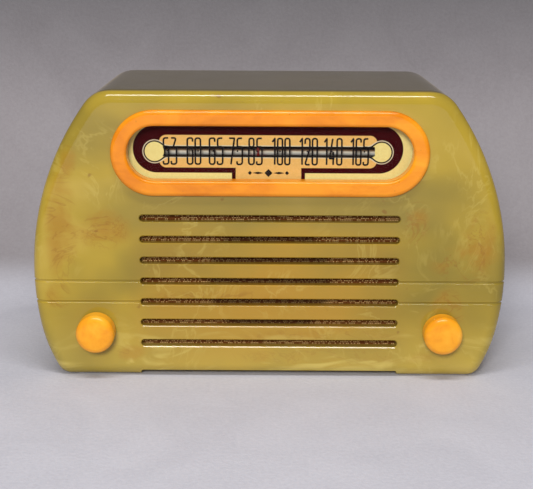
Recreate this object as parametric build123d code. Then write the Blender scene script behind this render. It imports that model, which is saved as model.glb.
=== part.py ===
"""Cast-phenolic table radio: a waisted, shouldered cabinet with seven louvres, a slide-rule dial behind a
stadium bezel, two round knobs, and the six-valve chassis, speaker and cord drive that it holds.

Frame: +X to the right seen from the front, -Y out of the front, +Z up. The origin is under the middle
of the whole object, on the surface that it stands on. Sizes are in millimetres. Places along Y are
mostly given as a depth behind the cabinet's front face, and at() turns a depth into a Y.
"""

import math
import os

from build123d import *

# ---- cabinet ----
cabinet_width = 273.0
cabinet_height = 167.0
cabinet_depth = 128.0
wall = 6.5
side_curve = 0.988  # radius of each side's long curve, as a share of the height
widest_at = 0.3713  # where the cabinet is widest, as a share of the height
flank_radius = 85.0  # the tighter curve that tucks the side in towards the foot
flank_start_height = 30.0
shoulder_radius = 20.0
foot_corner_radius = 9.0
front_edge_radius = 7.0
foot_gap = 150.0  # clear span between the two feet
foot_height = 3.5
foot_step_radius = 1.6
back_land = 3.0  # rim left outside the back panel
back_seat_depth = 3.2
groove_radius = 1.0
groove_depth = 0.6

# ---- louvres, cloth and baffle ----
slot_count = 7
slot_length = 149.0
slot_height = 4.1
slot_lip = 0.5
lowest_slot_height = 20.2
bezel_to_slot = 13.15  # bezel's lower edge to the middle of the top slot
cloth_thickness = 0.6
baffle_thickness = 2.5
baffle_margin = 6.0  # baffle beyond the slots at the top
baffle_side_margin = 12.0

# ---- dial ----
dial_below_top = 35.2
bezel_length = 180.0
bezel_height = 48.9
bezel_inner_length = 161.6
bezel_inner_height = 31.0
bezel_proud = 3.0
bezel_outer_round = 2.4
bezel_inner_round = 1.8
bezel_spigot_wall = 3.2
bezel_fit = 0.15
glass_length = 174.0
glass_height = 41.0
glass_thickness = 2.5
scale_thickness = 0.4
clip_half = 30.0
scale_slot_length = 119.4
scale_slot_height = 5.5
scale_low_x = -58.6  # pointer at the low end of the scale
pointer_rest_x = -6.9

# ---- knobs and shafts ----
knob_inset = 36.5  # knob centre in from the widest point
knob_height = 28.0
knob_diameter = 22.2
knob_length = 11.6
knob_edge_round = 3.6
knob_dome = 1.4
knob_bore_depth = 8.6
felt_thickness = 1.0
felt_gap = 0.2
shaft_diameter = 6.35
shaft_fit = 0.08  # running clearance on a radius
knob_fit = 0.03
panel_hole_diameter = 10.5
bushing_diameter = 9.5
nut_across_flats = 12.7
nut_thickness = 2.4

# ---- chassis ----
chassis_front = 24.0
chassis_to_back_panel = 6.8
chassis_sheet = 1.0
chassis_height = 37.0
chassis_past_shaft = 15.0
speaker_notch_half = 50.0
speaker_notch_depth = 39.0
washer_thickness = 1.0
screw_head_height = 2.6
chassis_screw_radius = 2.2

# ---- cord drive ----
drum_radius = 36.0  # to the middle of the cord
drum_from_knob = 12.0
idler_radius = 6.0
cord_diameter = 0.8
cord_gap = 0.25
waist_cord_radius = 3.4  # cord's middle where it winds on the tuning shaft
rim_height = 1.5
idler_to_drum = 0.7
pointer_plane = 13.8
drive_plane = 18.0
drum_front = 12.0
drum_back = 20.5
pointer_cord_drop = 7.8  # cord below the middle of the dial
idler_left_x = -75.0
rail_radius = 3.5
rail_depth = 17.2
dial_frame_depth = 22.0
lamp_depth = 16.4
lamp_rise = 11.0  # above the middle of the dial

# ---- tuning capacitor ----
gang_front = 25.5
gang_length = 44.0
gang_sheet = 1.4
gang_plate_radius = 19.0
gang_plate_thickness = 0.5
gang_pitch = 2.0
gang_plates = 8
gang_hub_radius = 5.0
gang_base_drop = 26.0

# ---- speaker ----
speaker_radius = 45.0
cone_radius = 35.0
cone_throat = 11.0
speaker_sheet = 1.2
gasket_thickness = 1.0
surround_gap = 0.3

# ---- valves and cans ----
valve_row_from_back = 24.0
valve_from_end = 17.0
arm_from_front = 27.0
valve_radius = 14.5
socket_flange = 1.5
metal_valve_height = 54.0
glass_valve_height = 70.0
valve_base_height = 17.0
glass_wall = 0.8
can_width = 30.0
can_height = 66.0
core_leg = 7.6  # width of each leg and window of the output transformer
core_right = 14.4

# ---- back panel ----
back_thickness = 3.0
back_fit = 0.4
back_screw_radius = 1.7
back_boss_radius = 5.0
back_boss_length = 16.0
back_head_height = 1.6
vent_radius = 4.0
loop_turns = 9
loop_wire = 0.9
loop_pitch = 1.6
grommet_radius = 6.0

# ---- places worked out from the sizes above ----
knob_reach = felt_thickness + felt_gap + knob_length
overall_depth = knob_reach + cabinet_depth - back_seat_depth + back_thickness + back_head_height
front_y = -overall_depth / 2 + knob_reach
side_radius = side_curve * cabinet_height
side_centre_height = widest_at * cabinet_height
floor_height = foot_height + wall
dial_height = cabinet_height - dial_below_top
highest_slot_height = dial_height - bezel_height / 2 - bezel_to_slot
slot_pitch = (highest_slot_height - lowest_slot_height) / (slot_count - 1)
knob_x = cabinet_width / 2 - knob_inset
glass_back = wall + glass_thickness
scale_back = glass_back + scale_thickness
cloth_back = wall + cloth_thickness
baffle_back = cloth_back + baffle_thickness
baffle_bottom = floor_height + 1.5
baffle_top = highest_slot_height + slot_height / 2 + baffle_margin
speaker_height = (baffle_bottom + baffle_top) / 2
chassis_half = knob_x + chassis_past_shaft
chassis_bottom = floor_height + washer_thickness
chassis_top = chassis_bottom + chassis_height
drum_x = knob_x - drum_from_knob
pointer_cord_height = dial_height - pointer_cord_drop
drum_height = pointer_cord_height - drum_radius
idler_left_height = pointer_cord_height - idler_radius
idler_right_x = drum_x - drum_radius - idler_radius
idler_reach = drum_radius + idler_radius + 2 * rim_height + idler_to_drum
idler_rise = math.sqrt(idler_reach**2 - (drum_radius + idler_radius) ** 2)
idler_right_height = drum_height + idler_rise
groove_floor = cord_diameter / 2 + cord_gap
gang_back = gang_front + gang_length
back_inside = cabinet_depth - back_seat_depth
chassis_back = back_inside - chassis_to_back_panel
speaker_notch_back = chassis_front + speaker_notch_depth
valve_row_depth = chassis_back - valve_row_from_back
arm_depth = chassis_front + arm_from_front
valve_row_half = chassis_half - valve_from_end
valve_spacing = valve_row_half / 3
valve_seat = chassis_top + socket_flange
drum_rest_angle = math.degrees((pointer_rest_x - scale_low_x) / drum_radius)

metal_valve_xs = [-2 * valve_spacing, 0.0, 2 * valve_spacing, 3 * valve_spacing]
can_xs = [-valve_spacing, valve_spacing]
output_valve = (-3 * valve_spacing, valve_row_depth)
rectifier_valve = (-3 * valve_spacing, arm_depth)
filter_can = (-2 * valve_spacing - 2.5, arm_depth)
tab_screws = ((42.0, speaker_notch_back + 8.5), (62.0, chassis_back - 8.5))
chassis_screws_at = [(side * x, depth) for side in (-1, 1) for x, depth in tab_screws]


# ---- helpers ----
def at(depth):
    """Y of a depth behind the front face."""
    return front_y + depth


def front_plane(y):
    return Plane(origin=(0, y, 0), x_dir=(1, 0, 0), z_dir=(0, -1, 0))


def slab(sketch, near, far):
    """A sketch drawn in X and Z, made solid between two depths."""
    return extrude(front_plane(at(far)) * sketch, amount=far - near)


def rod(radius, x, z, near, far):
    return slab(Pos(x, z) * Circle(radius), near, far)


def tube(outer, inner, x, z, near, far):
    return slab(Pos(x, z) * (Circle(outer) - Circle(inner)), near, far)


def block(x0, x1, near, far, z0, z1):
    """A box between two values of X, two depths and two heights."""
    size = Box(x1 - x0, far - near, z1 - z0)
    return Pos((x0 + x1) / 2, at((near + far) / 2), (z0 + z1) / 2) * size


def upright(radius, x, depth, z0, z1):
    base = (Align.CENTER, Align.CENTER, Align.MIN)
    return Pos(x, at(depth), z0) * Cylinder(radius, z1 - z0, align=base)


def turned(points, x, z):
    """A closed outline of (radius, depth) points, turned about an axis along Y."""
    face = make_face(Polyline([(r, at(d)) for r, d in points], close=True))
    return Pos(x, 0, z) * revolve(face, Axis.Y)


def lathed(points, x, depth):
    """A closed outline of (radius, height) points, turned about an upright axis."""
    face = make_face(Plane.XZ * Polyline(points, close=True))
    return Pos(x, at(depth), 0) * revolve(face, Axis.Z)


def solids(*shapes):
    """Separate solids kept apart in one node."""
    found = []
    for shape in shapes:
        found.extend(shape.solids())
    return Compound(children=found)


# ---- cabinet outline ----
def side_curve():
    """Points of the right side: foot, its middle, flank start, its middle, shoulder."""
    main = Vector(cabinet_width / 2 - side_radius, side_centre_height)
    start_rise = flank_start_height - main.Y
    start = Vector(main.X + math.sqrt(side_radius**2 - start_rise**2), flank_start_height)
    flank = start - (start - main).normalized() * flank_radius

    def on(centre, radius, angle):
        return Vector(centre.X + radius * math.cos(angle), centre.Y + radius * math.sin(angle))

    start_angle = math.asin(start_rise / side_radius)
    foot_angle = -math.asin(flank.Y / flank_radius)
    top_angle = math.asin((cabinet_height - main.Y) / side_radius)
    return [
        on(flank, flank_radius, foot_angle),
        on(flank, flank_radius, (foot_angle + start_angle) / 2),
        start,
        on(main, side_radius, (start_angle + top_angle) / 2),
        on(main, side_radius, top_angle),
    ]


def half_width(height):
    """Half the cabinet's outside width at a height."""
    main_x = cabinet_width / 2 - side_radius
    if height >= flank_start_height:
        return main_x + math.sqrt(side_radius**2 - (height - side_centre_height) ** 2)
    start_rise = (flank_start_height - side_centre_height) / side_radius
    start_run = math.sqrt(1 - start_rise**2)
    flank_x = main_x + (side_radius - flank_radius) * start_run
    flank_z = side_centre_height + (side_radius - flank_radius) * start_rise
    return flank_x + math.sqrt(flank_radius**2 - (height - flank_z) ** 2)


def outline():
    right = side_curve()
    left = [Vector(-p.X, p.Y) for p in right]
    edges = [
        ThreePointArc(right[0], right[1], right[2]),
        ThreePointArc(right[2], right[3], right[4]),
        Line(right[4], left[4]),
        ThreePointArc(left[4], left[3], left[2]),
        ThreePointArc(left[2], left[1], left[0]),
        Line(left[0], right[0]),
    ]
    face = make_face(edges)
    face = fillet(face.vertices().group_by(Axis.Y)[-1], shoulder_radius)
    return fillet(face.vertices().group_by(Axis.Y)[0], foot_corner_radius)


def stadium(length, height):
    return SlotOverall(length, height)


outer_face = outline()
back_screws_at = [
    (side * (half_width(height) - wall - inset), height)
    for side in (-1, 1)
    for height, inset in ((24.0, 3.6), (cabinet_height - 27.0, 4.0))
]
clip_rows = (dial_height - glass_height / 2 - 3.9, dial_height + glass_height / 2 + 3.9)
clips_at = [(x, z) for x in (-clip_half, clip_half) for z in clip_rows]
baffle_half = slot_length / 2 + baffle_side_margin
baffle_screws_at = [
    (side * (baffle_half - 5.0), z)
    for side in (-1, 1)
    for z in (lowest_slot_height + 1.5 * slot_pitch, highest_slot_height - 0.5 * slot_pitch)
]


# ---- cabinet and what is fixed to its front ----
def cabinet_shell():
    body = slab(outer_face, 0, cabinet_depth)
    front_edges = body.edges().group_by(Axis.Y)[0]
    body = fillet(front_edges, front_edge_radius)
    cavity = offset(outer_face, -wall) - Pos(0, floor_height / 2) * Rectangle(
        cabinet_width, floor_height
    )
    body -= slab(cavity, wall, cabinet_depth)
    body -= slab(offset(outer_face, -back_land), cabinet_depth - back_seat_depth, cabinet_depth)
    body -= feet_gap()
    for x, z in back_screws_at:
        boss = rod(back_boss_radius, x, z, back_inside - back_boss_length, back_inside)
        body += boss & slab(offset(outer_face, -wall / 2), 0, cabinet_depth)
        body -= rod(back_screw_radius, x, z, back_inside - 12, back_inside)
    opening = Pos(0, dial_height) * stadium(*bezel_opening())
    body -= slab(opening, -1, wall + 1)
    for x, z in clips_at:
        body += rod(3.2, x, z, wall - 0.5, scale_back)
        body -= rod(1.3, x, z, wall - 3, scale_back)
    for x, z in baffle_screws_at:
        body += rod(3.6, x, z, wall - 0.5, baffle_back)
        body -= rod(1.3, x, z, wall - 3, baffle_back)
    for side in (-1, 1):
        body -= rod(panel_hole_diameter / 2, side * knob_x, knob_height, -1, wall + 1)
    for x, depth in chassis_screws_at:
        body -= upright(chassis_screw_radius + 0.4, x, depth, 0, floor_height + 1)
    for row in range(slot_count):
        body -= slot_cut(lowest_slot_height + row * slot_pitch)
    for row in (slot_count // 2 - 1, slot_count // 2):
        body -= speed_lines(lowest_slot_height + row * slot_pitch)
    return body


def feet_gap():
    """The shallow arch that leaves a foot at each end, with its stepped corners eased."""
    gap = Pos(0, 0) * Rectangle(foot_gap, 2 * foot_height)
    gap = fillet(gap.vertices(), foot_step_radius)
    return slab(gap, -1, cabinet_depth + 1)


def bezel_opening():
    """Length and height of the cabinet's dial opening."""
    grown = 2 * (bezel_spigot_wall + bezel_fit)
    return bezel_inner_length + grown, bezel_inner_height + grown


def slot_cut(height):
    """One louvre: a slot with round ends and a slightly eased front lip."""
    slot = Pos(0, height) * stadium(slot_length, slot_height)
    wide = Pos(0, height) * stadium(slot_length + 2 * slot_lip, slot_height + 2 * slot_lip)
    lip = loft([front_plane(at(-0.001)) * wide, front_plane(at(slot_lip)) * slot])
    return slab(slot, -1, wall + 1) + lip


def speed_lines(height):
    """A rounded groove from each end of a louvre, round the corner and back along the side."""
    start = slot_length / 2 - 0.5
    side = half_width(height) + groove_radius - groove_depth
    lift = groove_radius - groove_depth
    cuts = None
    for sign in (-1, 1):
        path = FilletPolyline(
            (sign * start, at(-lift), height),
            (sign * side, at(-lift), height),
            (sign * side, at(cabinet_depth + 1), height),
            radius=front_edge_radius + lift,
        )
        section = Plane(origin=path @ 0, z_dir=path % 0) * Circle(groove_radius)
        cut = sweep(section, path=path)
        cuts = cut if cuts is None else cuts + cut
    return cuts


def dial_bezel():
    outer = Pos(0, dial_height) * stadium(bezel_length, bezel_height)
    inner = Pos(0, dial_height) * stadium(bezel_inner_length, bezel_inner_height)
    grown = 2 * bezel_spigot_wall
    spigot = Pos(0, dial_height) * stadium(bezel_inner_length + grown, bezel_inner_height + grown)
    ring = slab(outer - inner, -bezel_proud, 0)
    halfway = (bezel_inner_height + bezel_height) / 4
    front_edges = ring.faces().sort_by(Axis.Y)[0].edges()
    ring = fillet([e for e in front_edges if edge_reach(e) > halfway], bezel_outer_round)
    front_edges = ring.faces().sort_by(Axis.Y)[0].edges()
    ring = fillet([e for e in front_edges if edge_reach(e) < halfway], bezel_inner_round)
    return ring + slab(spigot - inner, 0, wall)


def edge_reach(edge):
    """How far an edge of a stadium lies from the stadium's middle line."""
    middle = edge @ 0.5
    straight = (bezel_inner_length - bezel_inner_height) / 2
    along = max(0.0, abs(middle.X) - straight)
    return math.hypot(along, middle.Z - dial_height)


def dial_glass():
    plate = RectangleRounded(glass_length, glass_height, 4.0)
    return slab(Pos(0, dial_height) * plate, wall, glass_back)


def dial_scale():
    plate = RectangleRounded(glass_length, glass_height, 4.0)
    plate -= RectangleRounded(scale_slot_length, scale_slot_height, 0.6)
    return slab(Pos(0, dial_height) * plate, glass_back, scale_back)


def dial_clips():
    clips = []
    for x, z in clips_at:
        towards = 1 if z < dial_height else -1
        strip = Pos(x, z + towards * 2.2) * RectangleRounded(8.0, 9.6, 1.5)
        strip -= Pos(x, z) * Circle(1.6)
        clips.append(slab(strip, scale_back, scale_back + 0.8))
    return solids(*clips)


def pan_screw(x, z, seat, grip, head=2.9):
    """A small round-headed screw pointing forward, whose head sits on the depth seat."""
    shank = rod(1.2, x, z, seat - grip, seat)
    dome = turned([(0, seat), (head, seat), (head, seat + 0.6), (head * 0.6, seat + 1.5),
                   (0, seat + 1.7)], x, z)
    driver = slab(Pos(x, z) * Rectangle(2 * head, 0.8), seat + 1.0, seat + 2)
    return shank + dome - driver


def front_panel_screws():
    screws = [pan_screw(x, z, scale_back + 0.8, 3.5) for x, z in clips_at]
    screws += [pan_screw(x, z, baffle_back, 5.0, head=4.6) for x, z in baffle_screws_at]
    return solids(*screws)


def grille_panel():
    """Outline shared by the cloth and the baffle behind it."""
    height = baffle_top - baffle_bottom
    panel = Pos(0, (baffle_top + baffle_bottom) / 2) * RectangleRounded(
        2 * baffle_half, height, 3.0
    )
    for x, z in baffle_screws_at:
        panel -= Pos(x, z) * Circle(3.8)
    for side in (-1, 1):
        panel -= Pos(side * knob_x, knob_height) * Circle(knob_diameter / 2 + 4)
    return panel


def grille_cloth():
    return slab(grille_panel(), wall, cloth_back)


def baffle_board():
    panel = grille_panel() - Pos(0, speaker_height) * Circle(cone_radius + 2.5)
    for x, z in speaker_bolts_at():
        panel -= Pos(x, z) * Circle(1.2)
    return slab(panel, cloth_back, baffle_back)


def knob_felt_washers():
    return solids(*[
        tube(knob_diameter / 2 - 2.0, shaft_diameter / 2 + 1.0, side * knob_x, knob_height,
             -felt_thickness, 0)
        for side in (-1, 1)
    ])


# ---- knobs and shafts ----
def knob(x):
    """A plain round knob: domed face, rounded edge, blind bore from behind."""
    back = -felt_thickness - felt_gap
    face = back - knob_length
    body = rod(knob_diameter / 2, x, knob_height, face + knob_dome, back)
    sphere = ((knob_diameter / 2) ** 2 + knob_dome**2) / (2 * knob_dome)
    dome = Pos(x, at(face + sphere), knob_height) * Sphere(sphere)
    dome &= rod(knob_diameter / 2, x, knob_height, face, face + knob_dome)
    body += dome
    rim = [e for e in body.edges() if abs(e.center().Y - at(face + knob_dome)) < 0.01]
    body = fillet(rim, knob_edge_round)
    rear = [e for e in body.edges() if abs(e.center().Y - at(back)) < 0.01]
    body = fillet(rear, 0.5)
    return body - rod(shaft_diameter / 2 + knob_fit, x, knob_height, back - knob_bore_depth, back)


def shaft_tip():
    """Depth of the front end of both control shafts, just short of the knob's blind bore."""
    return -felt_thickness - felt_gap - knob_bore_depth + 0.4


def volume_shaft():
    return rod(shaft_diameter / 2, -knob_x, knob_height, shaft_tip(), chassis_front + 0.8)


def tuning_shaft():
    radius = shaft_diameter / 2
    waist = waist_cord_radius - groove_floor
    tip, tail = shaft_tip(), chassis_front + 17
    near, far = drive_plane - 2.4, drive_plane + 2.4
    points = [(0, tip), (radius, tip), (radius, near), (waist, near + 0.5), (waist, far - 0.5),
              (radius, far), (radius, tail), (0, tail)]
    return turned(points, knob_x, knob_height)


def bushing(x, length):
    """A threaded panel bushing with its shoulder behind the chassis front."""
    bore = shaft_diameter / 2 + shaft_fit
    near = chassis_front - nut_thickness - 0.2
    back = chassis_front + chassis_sheet
    barrel = tube(bushing_diameter / 2, bore, x, knob_height, near, back)
    return barrel + tube(bushing_diameter / 2 + 2.5, bore, x, knob_height, back, back + length)


def tuning_bushing():
    return bushing(knob_x, 13.0)


def volume_control_body():
    """Potentiometer case with the mains switch behind it, on its threaded bushing."""
    back = chassis_front + chassis_sheet
    case = rod(12.0, -knob_x, knob_height, back, back + 11)
    switch = rod(10.5, -knob_x, knob_height, back + 11, back + 20)
    hole = rod(shaft_diameter / 2 + shaft_fit, -knob_x, knob_height, back - 5, back + 2)
    near = chassis_front - nut_thickness - 0.2
    barrel = rod(bushing_diameter / 2, -knob_x, knob_height, near, back)
    tags = block(-knob_x - 7, -knob_x + 7, back + 3, back + 4, knob_height - 16, knob_height - 10)
    gaps = [block(-knob_x + x - 1.2, -knob_x + x + 1.2, back + 2, back + 5,
                  knob_height - 17, knob_height - 12) for x in (-3.2, 3.2)]
    return case + switch + barrel + (tags - gaps) - hole


def panel_nuts():
    nuts = []
    for side in (-1, 1):
        nut = RegularPolygon(nut_across_flats / 2, 6, major_radius=False) - Circle(
            bushing_diameter / 2
        )
        near = chassis_front - nut_thickness
        nuts.append(slab(Pos(side * knob_x, knob_height) * nut, near, chassis_front))
    return solids(*nuts)


# ---- chassis ----
def chassis_plan():
    """Top view of the chassis, in X and Y: a tray with a bay at the front for the speaker."""
    deep = chassis_back - chassis_front
    plan = Pos(0, at(chassis_front + deep / 2)) * RectangleRounded(2 * chassis_half, deep, 2.5)
    bay_deep = speaker_notch_back - chassis_front
    bay = Rectangle(2 * speaker_notch_half, 2 * bay_deep)
    return plan - Pos(0, at(chassis_front)) * bay


def chassis_pan():
    plan = chassis_plan()
    pan = Pos(0, 0, chassis_bottom) * extrude(plan, amount=chassis_height)
    inside = offset(plan, -chassis_sheet, kind=Kind.INTERSECTION)
    pan -= Pos(0, 0, chassis_bottom) * extrude(inside, amount=chassis_height - chassis_sheet)
    tabs = [(42.0, speaker_notch_back, speaker_notch_back + 16),
            (62.0, chassis_back - 16, chassis_back)]
    for x, near, far in tabs:
        for side in (-1, 1):
            pan += block(side * x - 8, side * x + 8, near, far, chassis_bottom, chassis_bottom + 1)
    for x, depth in chassis_screws_at:
        pan -= upright(chassis_screw_radius + 0.1, x, depth, 0, chassis_bottom + 2)
    for x, depth in socket_places():
        pan -= upright(12.2, x, depth, chassis_top - 2, chassis_top + 1)
    for x in can_xs:
        pan -= upright(9.0, x, valve_row_depth, chassis_top - 2, chassis_top + 1)
    for side in (-1, 1):
        hole_radius = bushing_diameter / 2
        pan -= rod(hole_radius, side * knob_x, knob_height, chassis_front - 1, chassis_front + 2)
    pan -= rod(grommet_radius, cord_exit_x(), cord_exit_height(), chassis_back - 2, chassis_back + 1)
    return pan


def socket_places():
    places = [(x, valve_row_depth) for x in metal_valve_xs]
    return places + [output_valve, rectifier_valve]


def cord_exit_x():
    return -chassis_half + 33.0


def cord_exit_height():
    return chassis_bottom + 14.0


def chassis_screws():
    """Hex screws up through the cabinet floor, heads hidden between the feet."""
    screws = []
    for x, depth in chassis_screws_at:
        head = RegularPolygon(4.3, 6, major_radius=False)
        head = Pos(x, at(depth), foot_height - screw_head_height) * extrude(
            head, amount=screw_head_height
        )
        screws.append(head + upright(chassis_screw_radius, x, depth, foot_height,
                                     chassis_bottom + 6))
    return solids(*screws)


def chassis_washers():
    return solids(*[
        upright(6.0, x, depth, floor_height, chassis_bottom)
        - upright(chassis_screw_radius + 0.3, x, depth, floor_height - 1, chassis_bottom + 1)
        for x, depth in chassis_screws_at
    ])


def mains_grommet():
    """Rubber gland in the chassis back, where the mains lead leaves."""
    x, z = cord_exit_x(), cord_exit_height()
    outer, groove, bore = grommet_radius + 2, grommet_radius, grommet_radius - 2.4
    inside, outside = chassis_back - chassis_sheet, chassis_back
    points = [(bore, inside - 2), (outer, inside - 2), (outer, inside), (groove, inside),
              (groove, outside), (outer, outside), (outer, outside + 2), (bore, outside + 2)]
    return turned(points, x, z)


# ---- cord drive ----
def two_tangents(centre_a, radius_a, centre_b, radius_b):
    """Where the two outer tangents of circles a and b touch each, as ((a, b), (a, b))."""
    along = centre_b - centre_a
    base = math.atan2(along.Y, along.X)
    turn = math.acos((radius_a - radius_b) / along.length)
    pairs = []
    for sign in (1, -1):
        way = Vector(math.cos(base + sign * turn), math.sin(base + sign * turn))
        pairs.append((centre_a + way * radius_a, centre_b + way * radius_b))
    return pairs


def cord_along(edges, depth):
    """A round cord swept along a closed flat loop of lines and arcs drawn in X and Z."""
    loop = Wire([front_plane(at(depth)) * edge for edge in edges])
    section = Plane(origin=loop @ 0, z_dir=loop % 0) * Circle(cord_diameter / 2)
    return sweep(section, path=loop)


def around(centre, radius, angle):
    spin = math.radians(angle)
    return Vector(centre.X + radius * math.cos(spin), centre.Y + radius * math.sin(spin))


def inner_tangent(centre_a, radius_a, centre_b, radius_b, side):
    """Ends of a straight run that leaves circle a on one side and meets circle b on the other."""
    along = centre_b - centre_a
    turn = math.acos((radius_a + radius_b) / along.length)
    angle = math.atan2(along.Y, along.X) + side * turn
    way = Vector(math.cos(angle), math.sin(angle))
    return centre_a + way * radius_a, centre_b - way * radius_b


def pointer_cord():
    """Loop over the drum, left under the scale, round the left idler and back by the right one."""
    drum = Vector(drum_x, drum_height)
    left = Vector(idler_left_x, idler_left_height)
    right = Vector(idler_right_x, idler_right_height)
    left_under, right_over = inner_tangent(left, idler_radius, right, idler_radius, -1)
    right_side, drum_side = inner_tangent(right, idler_radius, drum, drum_radius, 1)
    return cord_along([
        Line(around(drum, drum_radius, 90), around(left, idler_radius, 90)),
        ThreePointArc(around(left, idler_radius, 90), around(left, idler_radius, 180), left_under),
        Line(left_under, right_over),
        ThreePointArc(right_over, around(right, idler_radius, 45), right_side),
        Line(right_side, drum_side),
        ThreePointArc(drum_side, around(drum, drum_radius, 315), around(drum, drum_radius, 90)),
    ], pointer_plane)


def drive_cord():
    """Loop round the drum and the tuning shaft, with two more turns on the shaft."""
    shaft = Vector(knob_x, knob_height)
    drum = Vector(drum_x, drum_height)
    (shaft_a, drum_a), (shaft_b, drum_b) = two_tangents(shaft, waist_cord_radius, drum, drum_radius)
    away = (drum - shaft).normalized()
    loop = cord_along([
        Line(shaft_a, drum_a),
        ThreePointArc(drum_a, drum + away * drum_radius, drum_b),
        Line(drum_b, shaft_b),
        ThreePointArc(shaft_b, shaft - away * waist_cord_radius, shaft_a),
    ], drive_plane)
    turns = []
    for step in (-1, 1):
        ring = Torus(waist_cord_radius, cord_diameter / 2)
        place = Pos(knob_x, at(drive_plane + step * (cord_diameter + 0.1)), knob_height)
        turns.append(place * Rot(90, 0, 0) * ring)
    return solids(loop, *turns)


def cord_drum():
    """Two-groove drum with a hub that clamps on the capacitor's shaft."""
    rim = drum_radius + rim_height
    floor = drum_radius - groove_floor
    half = cord_diameter / 2 + 0.35
    middle = (pointer_plane + drive_plane) / 2
    face_near, face_far = middle - 0.9, middle + 0.9
    points = [
        (rim - 6, drum_front), (rim, drum_front),
        (rim, pointer_plane - half), (floor, pointer_plane - half * 0.5),
        (floor, pointer_plane + half * 0.5), (rim, pointer_plane + half),
        (rim, drive_plane - half), (floor, drive_plane - half * 0.5),
        (floor, drive_plane + half * 0.5), (rim, drive_plane + half),
        (rim, drum_back), (rim - 6, drum_back), (rim - 6, face_far), (8.5, face_far),
        (8.5, drum_back + 1.5), (shaft_diameter / 2, drum_back + 1.5),
        (shaft_diameter / 2, face_near), (rim - 6, face_near),
    ]
    drum = turned(points, drum_x, drum_height)
    for spoke in range(5):
        angle = math.radians(drum_rest_angle + 72 * spoke + 36)
        x = drum_x + 20 * math.cos(angle)
        z = drum_height - 20 * math.sin(angle)
        drum -= rod(6.5, x, z, drum_front - 1, drum_back + 2)
    return drum


def idler_pulley(x, z):
    rim, floor = idler_radius + rim_height, idler_radius - groove_floor
    bore = 1.5 + shaft_fit
    half = 1.9
    points = [
        (bore, pointer_plane - half), (rim, pointer_plane - half), (rim, pointer_plane - 0.9),
        (floor, pointer_plane - 0.45), (floor, pointer_plane + 0.45), (rim, pointer_plane + 0.9),
        (rim, pointer_plane + half), (bore, pointer_plane + half),
    ]
    return turned(points, x, z)


def idler_studs():
    """Shouldered studs riveted to the dial frame, each with a flat head that keeps its pulley on."""
    studs = []
    for x, z in ((idler_left_x, idler_left_height), (idler_right_x, idler_right_height)):
        near, far = pointer_plane - 2.1, pointer_plane + 2.1
        points = [(0, near - 0.9), (2.9, near - 0.9), (2.9, near), (1.5, near), (1.5, far),
                  (3.2, far), (3.2, dial_frame_depth), (0, dial_frame_depth)]
        studs.append(turned(points, x, z))
    return solids(*studs)


def rail_ends():
    """Left and right ends of the pointer's guide rail."""
    travel = math.pi * drum_radius
    return scale_low_x - 11.0, scale_low_x + travel + 11.0


def dial_frame():
    """Sheet frame behind the dial: a top band on two legs, with a lug at each end of the rail."""
    near, far = dial_frame_depth, dial_frame_depth + 1.0
    left, right = rail_ends()
    top = dial_height + 17.0
    band_bottom = pointer_cord_height + rim_height + 1.5
    leg_right = drum_x - drum_radius - 2.0
    frame = block(left - 14, right + 6, near, far, band_bottom, top)
    frame += block(left - 14, left + 4, near, far, chassis_top, band_bottom)
    frame += block(leg_right, leg_right + 12, near, far, chassis_top, band_bottom)
    frame += block(idler_right_x - 8, leg_right + 12, near, far, idler_right_height - 8, band_bottom)
    for x0, x1 in ((left - 14, left + 4), (leg_right, leg_right + 12)):
        frame += block(x0, x1, near, gang_front + 1.5, chassis_top, chassis_top + 1)
    for x in (left, right):
        lug = block(x - 0.6, x + 0.6, rail_depth - 5, near, dial_height - 5, dial_height + 5)
        bore = Pos(x, at(rail_depth), dial_height) * Rot(0, 90, 0) * Cylinder(rail_radius, 4)
        frame += lug - bore
    return frame


def pointer_rail():
    """Polished tube seen through the scale's slot, on which the pointer slides."""
    left, right = rail_ends()
    length = right - left + 4
    rail = Cylinder(rail_radius, length) - Cylinder(rail_radius - 0.6, length)
    return Pos((left + right) / 2, at(rail_depth), dial_height) * Rot(0, 90, 0) * rail


def dial_pointer():
    """Saddle clipped on the cord, with a thin needle in front of the rail and a hook behind it."""
    x = pointer_rest_x
    cord_z = pointer_cord_height
    under = dial_height - rail_radius - 0.3
    saddle = block(x - 4.5, x + 4.5, scale_back + 1.7, rail_depth + 2.0, cord_z - 2, under)
    groove = cord_diameter / 2 + cord_gap
    saddle -= block(x - 5, x + 5, pointer_plane - groove, pointer_plane + groove,
                    cord_z - 2.5, cord_z + groove)
    needle_near = scale_back + 1.7
    needle = block(x - 0.6, x + 0.6, needle_near, needle_near + 0.8, under - 1, dial_height + 2.4)
    inner, outer = rail_radius + 0.3, rail_radius + 0.9
    hook_ring = Circle(outer) - Circle(inner)
    hook_ring -= Pos(-outer, outer / 2) * Rectangle(2 * outer, outer)
    hook = Plane.YZ * Pos(at(rail_depth), dial_height) * hook_ring
    hook = Pos(x - 0.6, 0, 0) * extrude(hook, amount=1.2)
    return saddle + needle + hook


def pilot_lamp_holder():
    """Bayonet shell on a strip riveted to the dial frame, above the rail."""
    z = dial_height + lamp_rise
    shell = Cylinder(4.9, 12) - Pos(0, 0, 1.5) * Cylinder(4.4, 12)
    shell = Pos(-36.0, at(lamp_depth), z) * Rot(0, 90, 0) * shell
    return shell + block(-41.5, -36.5, lamp_depth + 4.6, dial_frame_depth, z - 3, z + 3)


def pilot_lamp_bulb():
    z = dial_height + lamp_rise
    points = [(0, 0), (4.3, 0), (4.3, 10.6), (4.8, 12), (5.0, 15.4), (4.2, 18.5), (2.2, 20.6), (0, 21)]
    face = make_face(Polyline(points, close=True))
    bulb = revolve(face, Axis.Y)
    return Pos(-40.4, at(lamp_depth), z) * Rot(0, 0, -90) * bulb


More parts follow.
